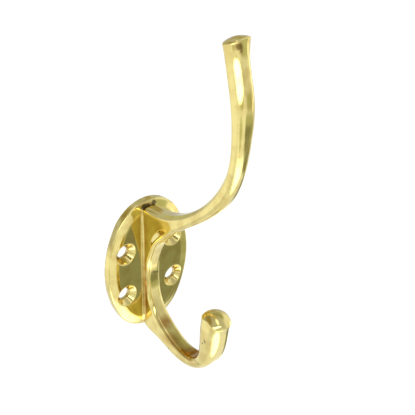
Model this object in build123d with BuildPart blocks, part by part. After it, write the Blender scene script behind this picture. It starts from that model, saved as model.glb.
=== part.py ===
from build123d import *
import math
import os

# Hat and coat hook, one brass casting. Sizes in millimetres.
# X runs across the hook, the flat back of the plate lies on Y = 0 and faces the wall (+Y),
# the arms stand out towards -Y and Z is up. The middle of the plate's back is the origin.

# oval back plate with an upright rim and a broad soft slope inside it
plate_width = 36.2
plate_height = 52.6
plate_end_radius = 15.2
plate_thickness = 3.3
plate_rim_height = 2.5
plate_slope_width = 3.4
plate_slope_soft = 7.0
plate_rim_soft = 0.6

# four holes for countersunk wood screws
hole_spacing_x = 21.4
hole_spacing_z = 17.7
hole_centre_z = -1.0
screw_bore = 4.5
screw_head = 8.3
screw_cone_angle = 90

# rib that stands on the plate from top to bottom and carries both arms
rib_half = 3.1
rib_top = 25.1
rib_bottom = -25.8
rib_sink = 1.6

# hollow blend between rib and plate: height, drop below the plate's face and size at each level
blend_size = 1.2
blend_slim = 0.8
blend_end = 0.35
blend_bury = 0.15
blend_levels = (
    (-25.5, 1.3, blend_end),
    (-23.6, 0.45, blend_size),
    (-21.2, 0.0, blend_size),
    (10.0, 0.0, blend_size),
    (21.2, 0.0, blend_slim),
    (24.4, 0.7, blend_end),
)

# upper arm: how far it stands out and rises, its tip and the half widths on the way
arm_reach = 53.9
upper_tip_z = 101.8
upper_tip_set_back = 7.4
upper_tip_depth = 8.2
upper_tip_lean = 23
upper_waist_half = 2.95
upper_swell_half = 3.85
upper_neck_half = 3.7
upper_tip_half = 5.0
upper_dome_radius = 8.2
arm_rise = upper_tip_z - rib_top
upper_tip_out = arm_reach - upper_tip_set_back

# how far the upper arm's wall side and its front stand back from its reach, from the flare to the foot
upper_flare_back = 8.8
upper_flare_front = 3.0
upper_neck_back = 7.7
upper_neck_front = 1.8
upper_swell_back = 5.6
upper_taper_back = 5.4
upper_taper_front = 0.5
upper_waist_back = 7.4
upper_waist_front = 2.8
upper_foot_back = 13.3
upper_foot_front = 8.7

# lower arm
lower_tip_z = -1.8
lower_tip_out = 40.3
lower_tip_depth = 10.3
lower_tip_lean = -5
lower_bend_half = 3.8
lower_tip_half = 4.4
lower_dome_radius = 6.1

# rounding of the long edges on the thin parts and near each tip, and of the upper tip's rim
edge_round = 1.5
upper_round = 1.95
upper_front_round = 2.9
upper_tip_round = 3.4
lower_round = 2.1
lower_tip_round = 3.7
upper_rim_soft = 0.6

# metal left on each tip for its dome to be turned from, and the room round it
tip_spare = 2.0
tip_clear = 2.0
upper_end_z = upper_tip_z + tip_spare
lower_end_z = lower_tip_z + tip_spare

front = Plane.XZ


def rise(share):
    return rib_top + share * arm_rise


def tip_plane(out, height, lean):
    turn = math.radians(lean)
    return Plane(origin=(0, -out, height), x_dir=(0, -math.cos(turn), math.sin(turn)), z_dir=(-1, 0, 0))


# sections across the bar: wall side and front as (out of the wall, up), half width, rounding of each side
upper_arm = (
    (
        (upper_tip_out - upper_tip_depth / 2, upper_end_z),
        (upper_tip_out + upper_tip_depth / 2, upper_end_z),
        upper_tip_half, upper_tip_round, upper_tip_round,
    ),
    (
        (arm_reach - upper_flare_back, rise(0.923)), (arm_reach - upper_flare_front, rise(0.928)),
        3.95, upper_round, upper_front_round,
    ),
    (
        (arm_reach - upper_neck_back, rise(0.845)), (arm_reach - upper_neck_front, rise(0.858)),
        upper_neck_half, upper_round, upper_front_round,
    ),
    (
        (arm_reach - upper_swell_back, rise(0.721)), (arm_reach, rise(0.728)),
        upper_swell_half, upper_round, upper_front_round,
    ),
    (
        (arm_reach - upper_taper_back, rise(0.572)), (arm_reach - upper_taper_front, rise(0.566)),
        3.4, upper_round, 2.6,
    ),
    (
        (arm_reach - upper_waist_back, rise(0.418)), (arm_reach - upper_waist_front, rise(0.398)),
        upper_waist_half, upper_round, 2.4,
    ),
    (
        (arm_reach - upper_foot_back, rise(0.271)), (arm_reach - upper_foot_front, rise(0.236)),
        3.0, upper_round, 2.3,
    ),
    ((32.4, rise(0.152)), (35.8, rise(0.108)), 3.05, upper_round, 2.0),
    ((22.0, rise(0.056)), (25.2, rise(0.002)), rib_half, upper_round, edge_round),
)
rib = (
    ((14.0, 26.1), (18.0, 19.5), rib_half, upper_round, edge_round),
    ((7.0, 24.9), (13.2, 15.1), rib_half, upper_round, edge_round),
    ((2.8, 23.9), (10.3, 11.8), rib_half, edge_round, edge_round),
    ((rib_sink, 17.0), (7.6, 6.3), rib_half, edge_round, edge_round),
    ((rib_sink, 4.0), (5.9, 1.0), rib_half, edge_round, edge_round),
    ((rib_sink, -5.5), (5.5, -5.0), rib_half, edge_round, edge_round),
    ((rib_sink, -14.0), (6.1, -11.0), rib_half, edge_round, edge_round),
    ((rib_sink, -21.0), (8.3, -16.6), rib_half, edge_round, edge_round),
    ((2.2, rib_bottom), (12.4, -21.0), rib_half, edge_round, edge_round),
    ((10.0, -28.5), (17.2, -24.2), rib_half, lower_round, edge_round),
)
lower_arm = (
    ((18.0, -31.0), (20.8, -26.0), 3.2, lower_round, edge_round),
    ((26.5, -31.6), (25.5, -26.7), 3.4, lower_round, edge_round),
    ((33.9, -28.8), (30.6, -25.6), lower_bend_half, lower_round, 1.9),
    ((39.9, -23.2), (34.0, -20.9), 4.15, 2.6, 2.5),
    ((42.9, -16.0), (34.7, -15.0), 4.4, 3.1, 3.1),
    ((45.0, -7.0), (35.0, -6.5), 4.5, 3.7, 3.7),
    (
        (lower_tip_out + lower_tip_depth / 2, lower_end_z),
        (lower_tip_out - lower_tip_depth / 2, lower_end_z),
        lower_tip_half, lower_tip_round, lower_tip_round,
    ),
)

sections = upper_arm + rib + lower_arm

# the bar: rounded sections joined from the upper tip round the rib's hollow to the lower tip
with BuildPart() as hook_casting:
    for (wall_out, wall_up), (front_out, front_up), half, wall_round, front_round in sections:
        across = Vector(0, wall_out - front_out, front_up - wall_up)
        middle = Vector(0, -(wall_out + front_out) / 2, (wall_up + front_up) / 2)
        cut = Plane(origin=middle, x_dir=across, z_dir=across.cross(Vector(1, 0, 0)))
        with BuildSketch(cut) as section:
            Rectangle(across.length, 2 * half)
            fillet(section.vertices().group_by(Axis.X)[0], wall_round)
            fillet(section.vertices().group_by(Axis.X)[-1], front_round)
    loft()

    # domed ends, turned about each tip's own line
    upper_tip = tip_plane(upper_tip_out, upper_tip_z, upper_tip_lean)
    lower_tip = tip_plane(lower_tip_out, lower_tip_z, lower_tip_lean)
    upper_cut = math.hypot(upper_tip_half, upper_tip_depth / 2) + tip_clear
    lower_cut = math.hypot(lower_tip_half, lower_tip_depth / 2) + tip_clear
    domes = ((upper_tip, upper_dome_radius, upper_cut), (lower_tip, lower_dome_radius, lower_cut))
    for tip, dome_radius, cut in domes:
        drop = min(cut, dome_radius)
        with BuildSketch(tip):
            with Locations((cut / 2, (cut - drop) / 2)):
                Rectangle(cut, cut + drop)
            with Locations((0, -dome_radius)):
                Circle(dome_radius, mode=Mode.SUBTRACT)
        revolve(axis=Axis(tip.origin, tip.y_dir), mode=Mode.SUBTRACT)
    upper_dome = hook_casting.faces().filter_by(GeomType.SPHERE).sort_by(Axis.Z)[-1]
    fillet(upper_dome.edges(), upper_rim_soft)

# plate: an oval slab of four arcs, whose front edge is sloped off and softened
end_centre = plate_height / 2 - plate_end_radius
half_spare = plate_width / 2 - plate_end_radius
side_radius = (end_centre**2 + (plate_width / 2) ** 2 - plate_end_radius**2) / (2 * half_spare)
join_share = plate_end_radius / (side_radius - plate_end_radius)
join_x = join_share * (side_radius - plate_width / 2)
join_z = end_centre + join_share * end_centre
with BuildPart() as plate:
    with BuildSketch(front):
        with BuildLine():
            ThreePointArc((-join_x, join_z), (0, plate_height / 2), (join_x, join_z))
            ThreePointArc((join_x, join_z), (plate_width / 2, 0), (join_x, -join_z))
            mirror(about=Plane.YZ)
            ThreePointArc((-join_x, -join_z), (0, -plate_height / 2), (join_x, -join_z))
        make_face()
    extrude(amount=plate_thickness)
    chamfer(
        plate.edges().group_by(Axis.Y)[0],
        plate_slope_width,
        plate_thickness - plate_rim_height,
        reference=plate.faces().sort_by(Axis.Y)[0],
    )
    fillet(plate.edges().group_by(Axis.Y)[0], plate_slope_soft)
    rim = plate.edges().filter_by(lambda e: abs(e.center().Y + plate_rim_height) < 0.05)
    fillet(rim, plate_rim_soft)

# blend: a hollow-sided strip that sinks with the plate's slope at both ends
with BuildPart() as root_blend:
    for height, drop, size in blend_levels:
        level = Plane(origin=(0, drop - plate_thickness, height), x_dir=(1, 0, 0), z_dir=(0, 0, 1))
        inner = rib_half - blend_bury
        outer = rib_half + size
        with BuildSketch(level):
            with BuildLine():
                Line((-inner, -size), (inner, -size))
                ThreePointArc((inner, -size), (rib_half + 0.3 * size, -0.3 * size), (outer, blend_bury))
                Line((outer, blend_bury), (outer, 2 * blend_bury))
                Line((outer, 2 * blend_bury), (-outer, 2 * blend_bury))
                Line((-outer, 2 * blend_bury), (-outer, blend_bury))
                ThreePointArc((-outer, blend_bury), (-rib_half - 0.3 * size, -0.3 * size), (-inner, -size))
            make_face()
    loft(ruled=True)

with hook_casting:
    add(plate.part)
    add(root_blend.part)

    # countersunk screw holes
    with Locations(Plane(origin=(0, -plate_thickness, hole_centre_z), x_dir=(1, 0, 0), z_dir=(0, -1, 0))):
        with GridLocations(hole_spacing_x, hole_spacing_z, 2, 2):
            CounterSinkHole(screw_bore / 2, screw_head / 2, counter_sink_angle=screw_cone_angle)

hook_casting.part.label = "hook_casting"
os.makedirs("parts", exist_ok=True)
export_step(hook_casting.part, "parts/hook_casting.step")
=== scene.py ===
import bpy
import math
from mathutils import Matrix, Vector

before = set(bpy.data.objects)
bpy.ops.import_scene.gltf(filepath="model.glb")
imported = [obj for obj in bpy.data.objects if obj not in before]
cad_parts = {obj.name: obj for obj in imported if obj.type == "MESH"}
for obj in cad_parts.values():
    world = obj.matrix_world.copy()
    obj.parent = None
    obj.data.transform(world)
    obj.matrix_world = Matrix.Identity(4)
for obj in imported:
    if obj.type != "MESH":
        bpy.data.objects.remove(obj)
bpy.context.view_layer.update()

# The hook: oval plate, rib and two arms, poured as one yellow brass casting in a sand mould.
# It was filed, then buffed bright by hand, and has aged a little since. Four empty countersunk
# holes in the plate take the screws that hold it to a wall.
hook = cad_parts["hook_casting"]


def linear(code):
    """An sRGB hex colour as linear RGBA."""
    parts = [int(code[i:i + 2], 16) / 255 for i in (1, 3, 5)]
    return [c / 12.92 if c <= 0.04045 else ((c + 0.055) / 1.055) ** 2.4 for c in parts] + [1.0]


def add(tree, kind, inputs, **settings):
    """Adds one node with its settings; inputs gives each socket its value or the socket to link from."""
    node = tree.nodes.new(kind)
    for name, value in settings.items():
        setattr(node, name, value)
    for socket, value in inputs.items():
        if isinstance(value, bpy.types.NodeSocket):
            tree.links.new(value, node.inputs[socket])
        else:
            node.inputs[socket].default_value = value
    return node


def soft_spot(tree, place, centre, half_sizes, turn=(0, 0, 0), core=0.65, rim=1.35):
    """A mask: 1 in an ellipsoid round centre, fading to 0 between core and rim of its half sizes."""
    local = add(tree, "ShaderNodeMapping", {
        "Vector": place, "Location": centre, "Rotation": turn, "Scale": half_sizes,
    }, vector_type="TEXTURE").outputs["Vector"]
    away = add(tree, "ShaderNodeVectorMath", {0: local}, operation="LENGTH").outputs["Value"]
    return add(tree, "ShaderNodeMapRange", {
        "Value": away, "From Min": rim, "From Max": core, "To Min": 0.0, "To Max": 1.0,
    }, interpolation_type="SMOOTHSTEP").outputs["Result"]


def metres(sizes_mm):
    return [size / 1000 for size in sizes_mm]


def per_metre(size_mm):
    """A pattern's scale when one feature of it is size_mm wide."""
    return 1000 / size_mm


# the Mix node's sockets for colours and for plain numbers
mix_share = 0
colour_a, colour_b, colour_mixed = 6, 7, 2
number_a, number_b, number_mixed = 2, 3, 0

# Polished cast brass: a warm yellow mirror, slightly wavy from hand buffing. Tarnish turns it browner in
# soft patches, and painted shade and painted dark reflections make it browner in the hollows and dark in the
# tight corners.
brass = bpy.data.materials.new("polished_cast_brass")
brass.use_nodes = True
tree = brass.node_tree
shader = tree.nodes["Principled BSDF"]
shader.inputs["Metallic"].default_value = 1.0
place = add(tree, "ShaderNodeTexCoord", {}).outputs["Object"]
ray_samples = 8

# clean metal with tarnish in soft patches
brass_yellow = linear("#f0dc8a")
brass_tarnished = linear("#dcc272")
tarnish_mm = 5.0
tarnish_starts, tarnish_full, tarnish_most = 0.4, 0.68, 0.8
tarnish_and_shade_noise = add(tree, "ShaderNodeTexNoise", {
    "Vector": place, "Scale": per_metre(tarnish_mm), "Detail": 3.0,
}).outputs["Fac"]
tarnish = add(tree, "ShaderNodeMapRange", {
    "Value": tarnish_and_shade_noise, "From Min": tarnish_starts, "From Max": tarnish_full,
    "To Min": 0.0, "To Max": tarnish_most,
}, interpolation_type="SMOOTHSTEP").outputs["Result"]
brass_colour = add(tree, "ShaderNodeMix", {
    mix_share: tarnish, colour_a: brass_yellow, colour_b: brass_tarnished,
}, data_type="RGBA").outputs[colour_mixed]

# painted shade: browner where the hook shades itself, with painted shade and dark reflections in listed
# places
painted_shade_brown = linear("#a8782c")
hollow_shade_mm = 16.0
hollow_shade_open, hollow_shade_shut, hollow_shade_most = 0.8, 0.4, 0.55
shade_place_core = 0.3
painted_shade_places = (
    # middle and half sizes along X, Y and Z in mm, and strength
    # painted shade and dark reflection inside the lower arm, from the rib to the bend
    ((0.0, -12.8, -21.3), (3.2, 3.0, 3.0), 1.4),
    ((-1.5, -20.0, -25.5), (2.5, 7.0, 2.2), 1.1),
    ((0.0, -28.5, -26.4), (4.0, 6.0, 2.0), 1.9),
    # painted shade in the corner between rib and plate
    ((-3.5, -4.3, -9.0), (1.1, 1.4, 17.0), 1.3),
    # painted dark reflection under the upper tip's rim
    ((-1.9, -50.4, 100.2), (1.7, 1.8, 1.3), 1.1),
    ((-1.0, -50.7, 98.6), (1.0, 1.8, 1.7), 1.0),
)
hollow_shade = add(tree, "ShaderNodeAmbientOcclusion", {"Distance": hollow_shade_mm / 1000}, samples=ray_samples)
painted_shade_share = add(tree, "ShaderNodeMapRange", {
    "Value": hollow_shade.outputs["AO"], "From Min": hollow_shade_open, "From Max": hollow_shade_shut,
    "To Min": 0.0, "To Max": hollow_shade_most,
}, interpolation_type="SMOOTHSTEP").outputs["Result"]
for middle_mm, half_mm, strength in painted_shade_places:
    spot = soft_spot(tree, place, metres(middle_mm), metres(half_mm), core=shade_place_core)
    patchy = add(tree, "ShaderNodeMath", {0: spot, 1: tarnish_and_shade_noise}, operation="MULTIPLY")
    painted_shade_share = add(tree, "ShaderNodeMath", {
        0: patchy.outputs["Value"], 1: strength, 2: painted_shade_share,
    }, operation="MULTIPLY_ADD").outputs["Value"]
tarnished_and_shaded_colour = add(tree, "ShaderNodeMix", {
    mix_share: painted_shade_share, colour_a: brass_colour, colour_b: painted_shade_brown,
}, data_type="RGBA").outputs[colour_mixed]

# painted shade in every tight corner, and marks with ragged edges: painted shade and dark reflection, and
# old casting marks
shade_and_mark_dark = linear("#33240f")
corner_shade_mm = 2.2
corner_shade_open, corner_shade_shut, corner_shade_most = 0.55, 0.25, 0.8
ragged_mm, ragged_shift_mm = 1.0, 1.4
marks_and_painted_shade = (
    # middle and half sizes along X, Y and Z in mm, turn about Y in degrees, and darkness
    # painted shade in the corner over the rib
    ((-1.2, -3.2, 24.2), (2.4, 1.4, 0.9), 0, 0.84),
    ((2.5, -2.9, 24.5), (1.2, 1.2, 1.0), 0, 0.78),
    # a cold-shut line in the rib's hollow and a crease at the lower bend
    ((0.7, -5.6, -2.9), (1.8, 1.0, 0.32), 23, 0.7),
    ((-3.9, -34.4, -24.8), (0.8, 2.2, 0.25), 0, 0.5),
    # pits beside the lower tip and under the lower arm
    ((-4.5, -39.4, -12.5), (0.7, 0.5, 0.5), 0, 0.6),
    ((-4.4, -38.3, -14.0), (0.7, 0.4, 0.5), 0, 0.6),
    ((-3.2, -17.6, -29.0), (0.7, 0.5, 0.4), 0, 0.5),
    # painted dark reflection under the upper tip's rim
    ((-1.8, -50.5, 100.0), (1.2, 1.8, 0.9), 0, 0.5),
    ((-1.1, -50.7, 98.9), (0.6, 1.8, 1.2), 0, 0.45),
)
corner_shade = add(tree, "ShaderNodeAmbientOcclusion", {"Distance": corner_shade_mm / 1000}, samples=ray_samples)
shade_and_marks = add(tree, "ShaderNodeMapRange", {
    "Value": corner_shade.outputs["AO"], "From Min": corner_shade_open, "From Max": corner_shade_shut,
    "To Min": 0.0, "To Max": corner_shade_most,
}, interpolation_type="SMOOTHSTEP").outputs["Result"]
ragged = add(tree, "ShaderNodeTexNoise", {"Vector": place, "Scale": per_metre(ragged_mm), "Detail": 2.0})
ragged_place = add(tree, "ShaderNodeVectorMath", {
    0: ragged.outputs["Color"], 1: metres([ragged_shift_mm] * 3), 2: place,
}, operation="MULTIPLY_ADD").outputs["Vector"]
for middle_mm, half_mm, turned, darkness in marks_and_painted_shade:
    # the ragged noise lies round a half, so it moves each mark by half the shift
    centre = metres([c + ragged_shift_mm / 2 for c in middle_mm])
    turn = (0, math.radians(turned), 0)
    spot = soft_spot(tree, ragged_place, centre, metres(half_mm), turn)
    mark = add(tree, "ShaderNodeMath", {0: spot, 1: darkness}, operation="MULTIPLY").outputs["Value"]
    shade_and_marks = add(tree, "ShaderNodeMath", {0: shade_and_marks, 1: mark}, operation="MAXIMUM").outputs["Value"]
seen_colour = add(tree, "ShaderNodeMix", {
    mix_share: shade_and_marks, colour_a: tarnished_and_shaded_colour, colour_b: shade_and_mark_dark,
}, data_type="RGBA").outputs[colour_mixed]
tree.links.new(seen_colour, shader.inputs["Base Color"])

# a high polish that varies a little, duller on the painted corner shade and the marks; the flat back is
# ground on a belt and left so
gloss_patch_mm = 2.5
gloss_noise_low, gloss_noise_high = 0.3, 0.7
best_roughness, worst_roughness = 0.05, 0.11
shade_and_mark_roughness = 0.35
ground_roughness = 0.3
back_skin_mm = 0.02
gloss_noise = add(tree, "ShaderNodeTexNoise", {
    "Vector": place, "Scale": per_metre(gloss_patch_mm), "Detail": 2.0,
}).outputs["Fac"]
polish = add(tree, "ShaderNodeMapRange", {
    "Value": gloss_noise, "From Min": gloss_noise_low, "From Max": gloss_noise_high,
    "To Min": best_roughness, "To Max": worst_roughness,
}).outputs["Result"]
front_roughness = add(tree, "ShaderNodeMath", {
    0: shade_and_marks, 1: shade_and_mark_roughness, 2: polish,
}, operation="MULTIPLY_ADD").outputs["Value"]
out_of_wall = add(tree, "ShaderNodeSeparateXYZ", {"Vector": place}).outputs["Y"]
on_back = add(tree, "ShaderNodeMapRange", {
    "Value": out_of_wall, "From Min": -2 * back_skin_mm / 1000, "From Max": -back_skin_mm / 1000,
}).outputs["Result"]
roughness = add(tree, "ShaderNodeMix", {
    mix_share: on_back, number_a: front_roughness, number_b: ground_roughness,
}, data_type="FLOAT").outputs[number_mixed]
tree.links.new(roughness, shader.inputs["Roughness"])

# edges rounded by the buff, slow waves, buffing lines, and the belt's lines on the back;
# real lines stand 0.02 mm apart on the front and 0.1 mm on the back, drawn coarser so that they show
soft_edge_mm = 0.8
wave_mm, wave_height_mm = 9.0, 0.03
buff_line_mm, buff_line_length_mm, buff_line_depth_mm = 0.5, 12.0, 0.0016
ground_line_mm, ground_line_length_mm, ground_line_depth_mm = 0.4, 40.0, 0.01
relief = (
    # scale along X, Y and Z, width of a feature and its depth in mm, fineness, and where it shows
    ((1.0, 1.0, 1.0), wave_mm, wave_height_mm, 1.0, 1.0),
    ((1.0, 1.0, buff_line_mm / buff_line_length_mm), buff_line_mm, buff_line_depth_mm, 2.0, 1.0),
    ((ground_line_mm / ground_line_length_mm, 1.0, 1.0), ground_line_mm, ground_line_depth_mm, 3.0, on_back),
)
soft_edges = add(tree, "ShaderNodeBevel", {"Radius": soft_edge_mm / 1000}, samples=ray_samples)
normal = soft_edges.outputs["Normal"]
for stretch, size_mm, depth_mm, fineness, shown in relief:
    stretched = add(tree, "ShaderNodeMapping", {"Vector": place, "Scale": stretch}).outputs["Vector"]
    pattern = add(tree, "ShaderNodeTexNoise", {
        "Vector": stretched, "Scale": per_metre(size_mm), "Detail": fineness,
    }).outputs["Fac"]
    normal = add(tree, "ShaderNodeBump", {
        "Height": pattern, "Distance": depth_mm / 1000, "Strength": shown, "Normal": normal,
    }).outputs["Normal"]
tree.links.new(normal, shader.inputs["Normal"])
hook.data.materials.clear()
hook.data.materials.append(brass)

# The photographer's table: a sheet of white paper, far enough below the hook to take no shadow
# from it, in a white studio that is bright enough to print as pure white.
floor_drop, floor_half = 0.4, 4.0
paper_roughness = 0.9
studio_strength = 1.15


def flat_sheet(name, half_wide, half_high):
    """A rectangle in its own XY plane, linked to the scene."""
    corners = ((-1, -1), (1, -1), (1, 1), (-1, 1))
    mesh = bpy.data.meshes.new(name)
    mesh.from_pydata([(x * half_wide, y * half_high, 0) for x, y in corners], [], [(0, 1, 2, 3)])
    sheet = bpy.data.objects.new(name, mesh)
    bpy.context.scene.collection.objects.link(sheet)
    return sheet


floor = flat_sheet("paper_floor", floor_half, floor_half)
floor.matrix_world = Matrix.Translation((0, 0, -floor_drop))
# Matt white paper: an even, nearly white ground without a sheen.
paper = bpy.data.materials.new("matt_white_paper")
paper.use_nodes = True
shader = paper.node_tree.nodes["Principled BSDF"]
shader.inputs["Base Color"].default_value = linear("#f8f8f6")
shader.inputs["Roughness"].default_value = paper_roughness
floor.data.materials.append(paper)
floor.visible_glossy = False

world = bpy.data.worlds.new("white_studio")
bpy.context.scene.world = world
world.use_nodes = True
background = world.node_tree.nodes["Background"]
background.inputs["Color"].default_value = linear("#ffffff")
background.inputs["Strength"].default_value = studio_strength

# The light tent: white cloth sewn into a ball round the hook, with soft lamps and dull cards behind it.
# The metal mirrors it, and nothing else sees it; the camera looks in through it.
tent_radius = 6.0
tent_centre = (0, -0.02, 0.02)
cloth_white, lamp_white, olive_card, brown_card = "#eef3ff", "#f3f7ff", "#f6ffe4", "#fff0b4"
tent_low, tent_high = 1.12, 0.66
fade_starts, fade_ends = -0.475, -0.05
tent_patches = (
    # azimuth from the front, elevation, half width and half height in degrees, brightness, colour
    (-34, -18, 75, 30, 1.18, cloth_white),
    (-122, -24, 32, 16, 1.26, cloth_white),
    (-135, -52, 30, 13, 0.96, cloth_white),
    (76, 5, 42, 44, 1.12, cloth_white),
    (80, -12, 11, 6, 1.9, lamp_white),
    (123, -42, 9, 14, 1.7, lamp_white),
    (-11, -57, 32, 11.5, 3.0, lamp_white),
    (-32, -10, 25, 8, 0.7, olive_card),
    (-38, -33, 14, 8, 0.7, olive_card),
    (38, -31, 17, 10, 0.55, olive_card),
    (42, -14, 8, 6, 0.6, olive_card),
    (58, -18, 9, 5, 1.5, lamp_white),
    (38, -33.5, 13, 4.5, 0.31, olive_card),
    (64, -33, 12, 9, 0.5, olive_card),
    (60, -41, 11, 5, 0.34, olive_card),
    (92, -47, 14, 7, 0.3, olive_card),
    (-34, 31, 10, 10, 0.3, olive_card),
    (111, 54, 34, 17, 0.45, olive_card),
    (146, 22, 10, 8, 0.42, brown_card),
    (-125, 47, 40, 18, 0.37, brown_card),
    (-12, 62, 8, 22, 1.6, lamp_white),
    (-114, 10, 14, 14, 0.9, cloth_white),
    (176, 6, 20, 16, 0.6, olive_card),
)


def direction(azimuth, elevation):
    """The unit vector at an azimuth from the front and an elevation, both in degrees."""
    a, e = math.radians(azimuth), math.radians(elevation)
    return Vector((math.sin(a) * math.cos(e), -math.cos(a) * math.cos(e), math.sin(e)))


def lit(colour, brightness):
    return [brightness * c for c in linear(colour)]


def show_in_mirrors_only(thing):
    thing.visible_camera = False
    thing.visible_diffuse = False
    thing.visible_shadow = False
    thing.visible_transmission = False


bpy.ops.mesh.primitive_uv_sphere_add(segments=32, ring_count=16, radius=tent_radius, location=tent_centre)
tent = bpy.context.object
tent.name = "light_tent"
# Lit white cloth: an even soft glow, brighter low down, with the lamps and cards showing through.
cloth = bpy.data.materials.new("lit_white_cloth")
cloth.use_nodes = True
tree = cloth.node_tree
tree.nodes.clear()
place = add(tree, "ShaderNodeTexCoord", {}).outputs["Object"]
towards = add(tree, "ShaderNodeVectorMath", {0: place}, operation="NORMALIZE").outputs["Vector"]
height = add(tree, "ShaderNodeSeparateXYZ", {"Vector": towards}).outputs["Z"]
rising = add(tree, "ShaderNodeMapRange", {
    "Value": height, "From Min": fade_starts, "From Max": fade_ends,
}, interpolation_type="SMOOTHSTEP").outputs["Result"]
light = add(tree, "ShaderNodeMix", {
    mix_share: rising, colour_a: lit(cloth_white, tent_low), colour_b: lit(cloth_white, tent_high),
}, data_type="RGBA").outputs[colour_mixed]
for azimuth, elevation, half_wide, half_high, brightness, colour in tent_patches:
    centre = direction(azimuth, elevation)
    across = direction(azimuth + 90, 0)
    turn = Matrix((across, centre.cross(across), centre)).transposed().to_euler()
    size = (math.sin(math.radians(half_wide)), math.sin(math.radians(half_high)), 1.0)
    share = soft_spot(tree, towards, centre, size, turn)
    light = add(tree, "ShaderNodeMix", {
        mix_share: share, colour_a: light, colour_b: lit(colour, brightness),
    }, data_type="RGBA").outputs[colour_mixed]
glow = add(tree, "ShaderNodeEmission", {"Color": light})
add(tree, "ShaderNodeOutputMaterial", {"Surface": glow.outputs["Emission"]})
tent.data.materials.append(cloth)
show_in_mirrors_only(tent)

# A strip lamp behind a diffuser stands close to the upper arm, on its left and tilted a little,
# and draws the long highlight down the arm's front.
lamp_faces = Vector((0.0, -0.05, 0.072))
lamp_azimuth, lamp_elevation, lamp_slant = -36, 0, 9
lamp_distance = 0.15
lamp_half_wide, lamp_half_high = 0.12, 0.019
lamp_rim = 1.35
lamp_brightness = 3.6
lamp = flat_sheet("strip_lamp", lamp_rim * lamp_half_wide, lamp_rim * lamp_half_high)
lamp_side = direction(lamp_azimuth, lamp_elevation)
lamp.matrix_world = (
    Matrix.Translation(lamp_faces + lamp_side * lamp_distance)
    @ lamp_side.to_track_quat("Z", "Y").to_matrix().to_4x4()
    @ Matrix.Rotation(math.radians(lamp_slant), 4, "Z")
)
# Lit white diffuser: a bright glow that fades out at its edges.
diffuser = bpy.data.materials.new("lit_white_diffuser")
diffuser.use_nodes = True
tree = diffuser.node_tree
tree.nodes.clear()
place = add(tree, "ShaderNodeTexCoord", {}).outputs["Object"]
share = soft_spot(tree, place, (0, 0, 0), (lamp_half_wide, lamp_half_high, 1.0), rim=lamp_rim)
glow = add(tree, "ShaderNodeEmission", {"Color": linear(lamp_white), "Strength": lamp_brightness})
clear = add(tree, "ShaderNodeBsdfTransparent", {})
soft_lamp = add(tree, "ShaderNodeMixShader", {
    0: share, 1: clear.outputs["BSDF"], 2: glow.outputs["Emission"],
})
add(tree, "ShaderNodeOutputMaterial", {"Surface": soft_lamp.outputs["Shader"]})
lamp.data.materials.append(diffuser)
show_in_mirrors_only(lamp)

# The camera stands 0.42 m from the middle of the plate, to the left of the hook and above it.
azimuth, elevation, roll = math.radians(37.04), math.radians(32.885), math.radians(1.3)
distance = 0.42
focal_px = 1141.8
middle_px = (144.62, 259.24)
frame_px = 415
sa, ca, se, ce = math.sin(azimuth), math.cos(azimuth), math.sin(elevation), math.cos(elevation)
right = Vector((ca, -sa, 0))
up = Vector((sa * se, ca * se, ce))
back = Vector((-sa * ce, -ca * ce, se))
turn = Matrix((right, up, back)).transposed()
half = frame_px / 2
aim = Vector(((middle_px[0] - half) / focal_px, -(middle_px[1] - half) / focal_px, -1)).normalized()
swing = Vector((0, 0, -1)).rotation_difference(aim).to_matrix()
spin = Matrix.Rotation(roll, 3, "Z")
camera_data = bpy.data.cameras.new("camera")
camera_data.lens = focal_px * camera_data.sensor_width / frame_px
camera = bpy.data.objects.new("camera", camera_data)
bpy.context.scene.collection.objects.link(camera)
camera.matrix_world = Matrix.Translation(back * distance) @ (turn @ (swing @ spin).transposed()).to_4x4()
bpy.context.scene.camera = camera
bpy.context.scene.view_settings.view_transform = "Standard"
